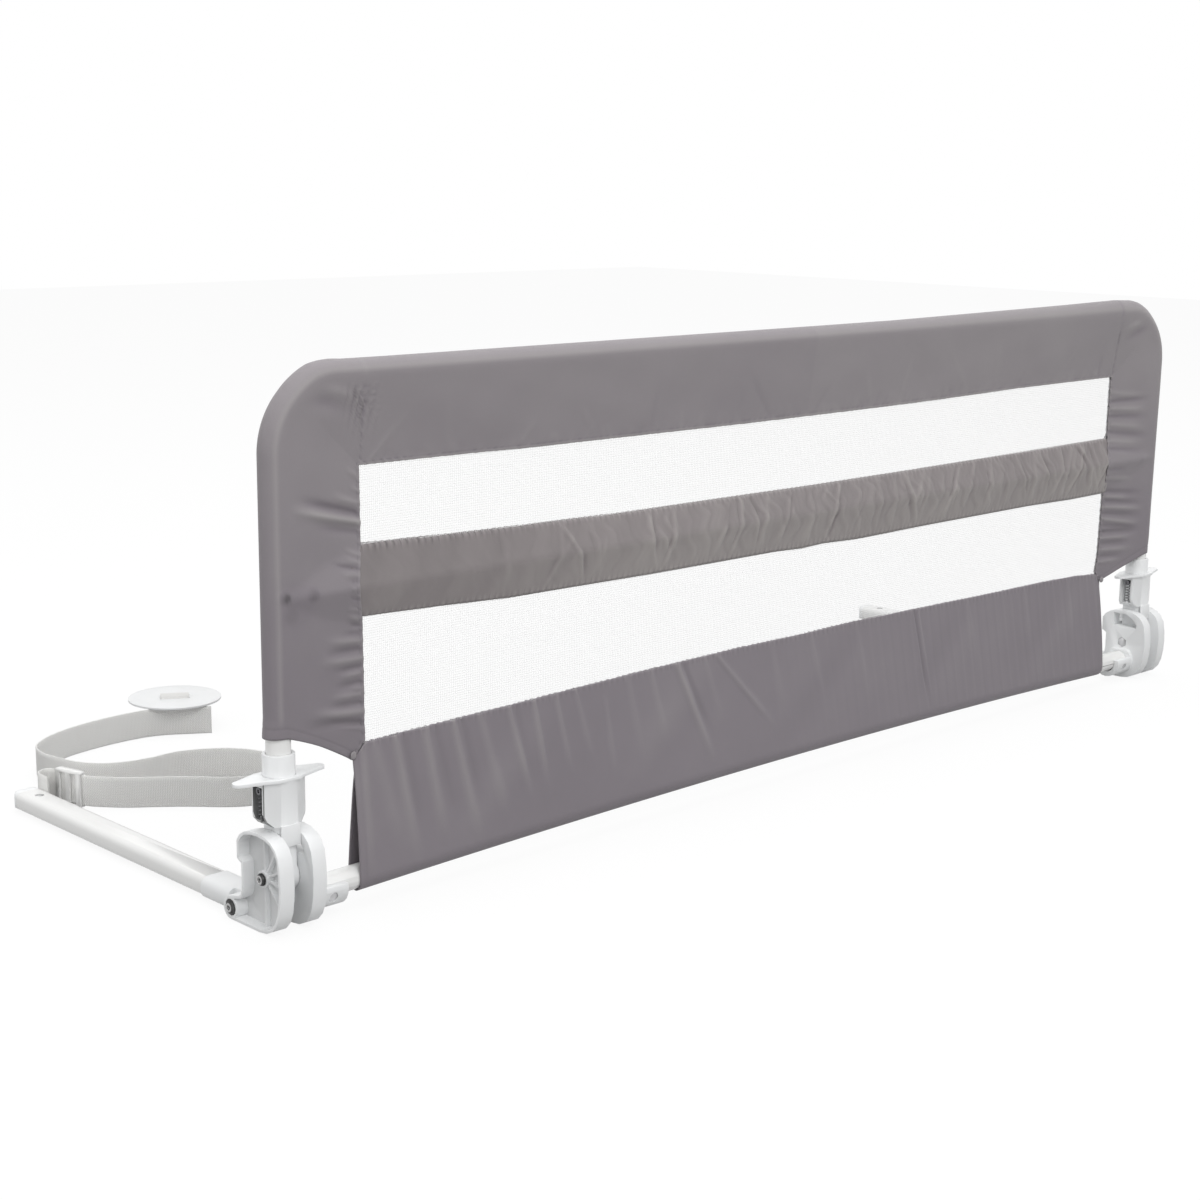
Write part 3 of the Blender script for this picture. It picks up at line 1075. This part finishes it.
class RAIL_OT_cover(bpy.types.Operator):
    """Cloth cover over the top frame, with its folds, seams and stitched edges"""

    bl_idname = "rail.cover"
    bl_label = "Cloth cover"

    def execute(self, context):
        cloth = context.scene.rail_cloth
        cover = shaped_sheet("rail_cover", 700, 70, cover_shape)
        turn_outwards(cover, (0, POST_Y - 0.01, TOP_Z - 0.03), (0, -1, 0))
        cloth_shell(cover, cloth.cloth_thickness)
        dress(cover, finish("cover_cloth"), "rail", ["fabric_cover"])
        return {"FINISHED"}


class RAIL_OT_band(bpy.types.Operator):
    """Band over the middle rail, with crossing folds and puckered edges"""

    bl_idname = "rail.band"
    bl_label = "Middle band"

    def execute(self, context):
        cloth = context.scene.rail_cloth
        band = shaped_sheet("middle_band", 800, 52, band_shape)
        edit_all(band)
        bpy.ops.mesh.remove_doubles(threshold=0.00001)
        bpy.ops.object.mode_set(mode="OBJECT")
        turn_outwards(band, (0, POST_Y - 0.01, MID_Z), (0, -1, 0))
        cloth_shell(band, cloth.cloth_thickness)
        dress(band, finish("band_cloth"), "rail", ["mid_band"])
        return {"FINISHED"}


class RAIL_OT_skirt(bpy.types.Operator):
    """Skirt from the lower window down round the bottom tube"""

    bl_idname = "rail.skirt"
    bl_label = "Skirt"

    def execute(self, context):
        cloth = context.scene.rail_cloth
        skirt = shaped_sheet("rail_skirt", 640, 72, skirt_shape)
        turn_outwards(skirt, (0, POST_Y - 0.01, 0.08), (0, -1, 0))
        cloth_shell(skirt, cloth.cloth_thickness)
        dress(skirt, finish("cover_cloth"), None, ["skirt_hem", "skirt_fold", "skirt_panel"])
        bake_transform(skirt)
        return {"FINISHED"}


class RAIL_OT_nets(bpy.types.Operator):
    """Fine net in the two windows"""

    bl_idname = "rail.nets"
    bl_label = "Nets"

    def execute(self, context):
        def sheet_between(low_edge, high_edge, seed):
            def shape(along, across):
                x = NET_SIDES[0] + along * (NET_SIDES[1] - NET_SIDES[0])
                foot, head = low_edge(x), high_edge(x)
                z = foot + across * (head - foot)
                y = 0.0002 * waves(x + z, seed, 0.05)
                return np.stack([x, y + POST_Y, z], 1), np.stack([x, z], 1), np.zeros_like(x)
            return shape

        upper = sheet_between(lambda x: BAND_HIGH.z - 0.004 + 0 * x,
                              lambda x: WINDOW_TOP + 0.001 + slack(x, WINDOW_EDGE), 107)
        lower = sheet_between(lambda x: bar_height(x) + skirt_top(x) - 0.001,
                              lambda x: BAND_LOW.z + 0.0045 + 0 * x, 109)
        for name, node, shape, height in (("upper_window_net", "upper_net", upper, 0.066),
                                          ("lower_window_net", "lower_net", lower, 0.094)):
            net = shaped_sheet(name, 120, 8, shape)
            turn_outwards(net, (0, POST_Y, 0.2), (0, -1, 0))
            select_only(net)
            bpy.ops.object.shade_smooth()
            dress(net, finish("window_net"), "rail", [node])
        return {"FINISHED"}


# The strap's route, on the same curve as the frame's
def route_points(count):
    """Evenly spaced points on a centripetal curve through the route, as part.mjs has it."""
    given = np.array([(x - POST_X, y + POST_Y, z + STRAP_MIDDLE_Z) for x, y, z in STRAP_ROUTE])
    first = 2 * given[0] - given[1]
    last = 2 * given[-1] - given[-2]
    padded = np.vstack([first, given, last])
    dense = []
    for place in range(1, len(padded) - 2):
        p0, p1, p2, p3 = padded[place - 1:place + 3]
        d0, d1, d2 = (math.sqrt(np.linalg.norm(b - a)) for a, b in ((p0, p1), (p1, p2), (p2, p3)))
        t1 = ((p1 - p0) / d0 - (p2 - p0) / (d0 + d1) + (p2 - p1) / d1) * d1
        t2 = ((p2 - p1) / d1 - (p3 - p1) / (d1 + d2) + (p3 - p2) / d2) * d1
        for step in range(24):
            t = step / 24
            dense.append((2 * t ** 3 - 3 * t ** 2 + 1) * p1 + (t ** 3 - 2 * t ** 2 + t) * t1
                         + (3 * t ** 2 - 2 * t ** 3) * p2 + (t ** 3 - t ** 2) * t2)
    dense.append(given[-1])
    dense = np.array(dense)
    lengths = np.concatenate([[0], np.cumsum(np.linalg.norm(np.diff(dense, axis=0), axis=1))])
    even = np.linspace(0, lengths[-1], count)
    return np.stack([np.interp(even, lengths, dense[:, axis]) for axis in range(3)], 1), lengths[-1]


class RAIL_OT_strap(bpy.types.Operator):
    """Webbing strap on its edge, with its buckle, rivet, tab and disc"""

    bl_idname = "rail.strap"
    bl_label = "Anchor strap"

    def execute(self, context):
        columns = 300
        points, length = route_points(columns + 1)
        tangents = np.gradient(points, axis=0)
        tangents[:, 2] = 0
        tangents /= np.linalg.norm(tangents, axis=1)[:, None]
        sides = np.stack([-tangents[:, 1], tangents[:, 0], np.zeros(columns + 1)], 1)
        section = self.section()

        def place(along, across):
            column = np.round(along * columns).astype(int)
            row = np.round(across * (len(section) - 1)).astype(int)
            rise = section[row, 0]
            depth = section[row, 1]
            ripple = 0.00012 * waves(column * length / columns, 113, 0.021)
            here = points[column] + sides[column] * (depth + ripple)[:, None]
            here[:, 2] += rise
            bend = np.hypot(points[column, 0] + POST_X - STRAP_BEND_X,
                            points[column, 1] - POST_Y - STRAP_BEND_Y)
            shaded = 0.18 * (1 - smoothstep(0.20, 0.34, along)) + 0.45 * np.exp(-(bend / 0.026) ** 2)
            inside = 1 - smoothstep(0.0112, 0.0128, np.abs(rise))
            return here, np.stack([along * length, across * STRAP_GIRTH], 1), (shaded + 0.07) * inside

        strap = shaped_sheet("anchor_strap", columns, len(section) - 1, place)
        edit_all(strap)
        bpy.ops.mesh.remove_doubles(threshold=0.000005)
        bpy.ops.mesh.select_all(action="DESELECT")
        bpy.ops.mesh.select_non_manifold()
        bpy.ops.mesh.edge_face_add()
        bpy.ops.mesh.select_all(action="SELECT")
        bpy.ops.mesh.normals_make_consistent(inside=False)
        bpy.ops.object.mode_set(mode="OBJECT")
        smooth(strap, 50)
        dress(strap, finish("strap_webbing"), "arm_left", ["strap"])
        buckle = moulded_copy("strap_buckle", "strap_buckle_moulded", joined=False)
        dress(buckle, finish("buckle_plastic"), "arm_left", ["strap_buckle"])
        rivet = moulded_copy("strap_rivet", "strap_rivet_turned", 0.0004)
        dress(rivet, finish("spring_steel"), "arm_left", ["strap_rivet"])
        tab = moulded_copy("strap_tab", "strap_tab_sewn", 0.0002, degrees=60)
        tone_recess(tab, (0, 0, 1), 0.55, -0.007)
        dress(tab, finish("strap_webbing"), "arm_left", ["strap_tab"])
        disc = self.disc(context.scene.rail_hard.disc_radius)
        dress(disc, finish("disc_plastic"), "arm_left", ["anchor_disc"])
        return {"FINISHED"}

    def section(self):
        """Strap section as (rise, depth), with full rounded edges, closed on its first point."""
        half, deep = STRAP_WIDTH / 2, STRAP_THICKNESS / 2
        points = []
        for end, angles in ((1, (60, 0, -60)), (-1, (-120, 180, 120))):
            corner = end * (half - deep)
            for rise in np.linspace(-corner, corner, 9):
                points.append((rise, end * deep))
            for angle in np.radians(angles):
                points.append((corner + deep * math.cos(angle), deep * math.sin(angle)))
        points.append(points[0])
        return np.array(points)

    def disc(self, radius):
        low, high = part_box("anchor_disc")
        centre = (low + high) / 2
        depth = high.z - low.z
        clear_selection()
        bpy.ops.mesh.primitive_cylinder_add(vertices=128, radius=radius, depth=depth, location=centre)
        disc = bpy.context.object
        disc.name = "anchor_disc_moulded"
        apply_place(disc)
        turn = math.radians(-32)
        for side in (-1, 1):
            offset = Vector((-math.sin(turn), math.cos(turn), 0)) * side * 0.006
            clear_selection()
            bpy.ops.mesh.primitive_cube_add(size=1.0, location=centre + offset, rotation=(0, 0, turn))
            cutter = bpy.context.object
            cutter.scale = (0.0292, 0.004, 0.02)
            apply_place(cutter)
            add_modifier(cutter, "BEVEL", width=0.0009, segments=3)
            add_modifier(disc, "BOOLEAN", operation="DIFFERENCE", object=cutter, solver="EXACT")
            bpy.data.objects.remove(cutter)
        add_modifier(disc, "BEVEL", width=0.0005, segments=3, limit_method="ANGLE",
                     angle_limit=math.radians(40))
        smooth(disc, 35)
        return disc


class RAIL_OT_hinges(bpy.types.Operator):
    """Moulded cheeks, hinge arms and release sliders, with their bolts, springs and screws"""

    bl_idname = "rail.hinges"
    bl_label = "Hinges"

    def execute(self, context):
        radius = context.scene.rail_hard.edge_radius
        kinds = {"spring": "spring_steel", "stop": "spring_steel", "bolt_left": "bolt_steel",
                 "stud": "stud_enamel"}
        for end in ("left", "right"):
            for node, body, rounding in (
                (f"outer_cheek_{end}", "base", radius),
                (f"inner_cheek_{end}", "base", radius * 1.4),
                (f"hinge_arm_{end}", "rail", radius),
                (f"release_slider_{end}", f"slider_{end}", radius * 0.8),
                (f"arm_socket_{end}", f"arm_{end}", radius),
                (f"arm_end_cap_{end}", f"arm_{end}", radius * 0.6),
                (f"tee_{end}", "rail", radius),
            ):
                piece = moulded_copy(node, f"{node}_moulded", rounding)
                if node == "outer_cheek_left":
                    tone_recess(piece, (-1, 0, 0), 0.30)
                if node == "inner_cheek_left":
                    tone_recess(piece, (-1, 0, 0), 0.12, -0.007)
                if node == "release_slider_left":
                    tone_pockets(piece, ("slider_spring_left_1", "slider_spring_left_2"))
                dress(piece, finish("hinge_plastic"), body, [node])
            fasteners = [(f"pivot_bolt_{end}", "base"), (f"arm_bolt_{end}", "base"),
                         (f"bottom_snap_button_{end}", "base"), (f"post_screw_{end}", "rail"),
                         (f"stop_screw_{end}_1", "rail"), (f"stop_screw_{end}_2", "rail"),
                         (f"slider_spring_{end}_1", None), (f"slider_spring_{end}_2", None),
                         (f"tee_screw_{end}_1", "rail"), (f"tee_screw_{end}_2", "rail"),
                         (f"press_stud_{end}", "rail")]
            for node, body in fasteners:
                piece = moulded_copy(node, f"{node}_turned", 0.0 if "spring" in node else 0.00025)
                steel = next((kinds[word] for word in kinds if word in node), "screw_steel")
                if node == "press_stud_right":
                    piece.data.transform(Matrix.Translation((STUD_SHIFT, 0, 0)))
                dress(piece, finish(steel), body, [node])
                if not body:
                    # A spring's foot rises with the slider, and its head stays at the hinge arm
                    low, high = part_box(node)
                    x, y, z = (low + high) / 2
                    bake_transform(piece)
        return {"FINISHED"}


class RAIL_OT_tubes(bpy.types.Operator):
    """Painted tubes of the frame and the arms"""

    bl_idname = "rail.tubes"
    bl_label = "Tubes"

    def execute(self, context):
        tubes = [("top_tube", "rail"), ("mid_rail", "rail"), ("bottom_tube_middle", "base")]
        for end in ("left", "right"):
            tubes += [(f"lower_post_{end}", "rail"), (f"corner_tube_{end}", "rail"),
                      (f"bottom_tube_{end}", "base"), (f"arm_tube_{end}", f"arm_{end}")]
        for node, body in tubes:
            piece = moulded_copy(node, f"{node}_painted", 0.0, degrees=42)
            dress(piece, finish("tube_paint"), body, [node])
        return {"FINISHED"}


class RAIL_PT_panel(bpy.types.Panel):
    """Lists the pieces in the sidebar"""

    bl_idname = "RAIL_PT_panel"
    bl_label = "Bed Rail"
    bl_space_type = "VIEW_3D"
    bl_region_type = "UI"
    bl_category = "Bed Rail"

    def draw(self, context):
        for operator in OPERATORS:
            self.layout.operator(operator.bl_idname)
        for group in ("rail_cloth", "rail_hard", "rail_stage"):
            settings = getattr(context.scene, group)
            for name in settings.__annotations__:
                self.layout.prop(settings, name)


OPERATORS = (RAIL_OT_stage, RAIL_OT_strap, RAIL_OT_cover, RAIL_OT_band, RAIL_OT_skirt, RAIL_OT_nets,
             RAIL_OT_hinges, RAIL_OT_tubes)
CLASSES = (RailClothSettings, RailHardSettings, RailStageSettings, *OPERATORS, RAIL_PT_panel)


def register():
    for kind in CLASSES:
        bpy.utils.register_class(kind)
    bpy.types.Scene.rail_cloth = bpy.props.PointerProperty(type=RailClothSettings)
    bpy.types.Scene.rail_hard = bpy.props.PointerProperty(type=RailHardSettings)
    bpy.types.Scene.rail_stage = bpy.props.PointerProperty(type=RailStageSettings)


def unregister():
    del bpy.types.Scene.rail_stage
    del bpy.types.Scene.rail_hard
    del bpy.types.Scene.rail_cloth
    for kind in reversed(CLASSES):
        bpy.utils.unregister_class(kind)


def main():
    register()
    bpy.ops.rail.stage()
    bpy.ops.rail.strap()
    bpy.ops.rail.cover()
    bpy.ops.rail.band()
    bpy.ops.rail.skirt()
    bpy.ops.rail.nets()
    bpy.ops.rail.hinges()
    bpy.ops.rail.tubes()
    clear_selection()


if __name__ == "__main__":
    main()
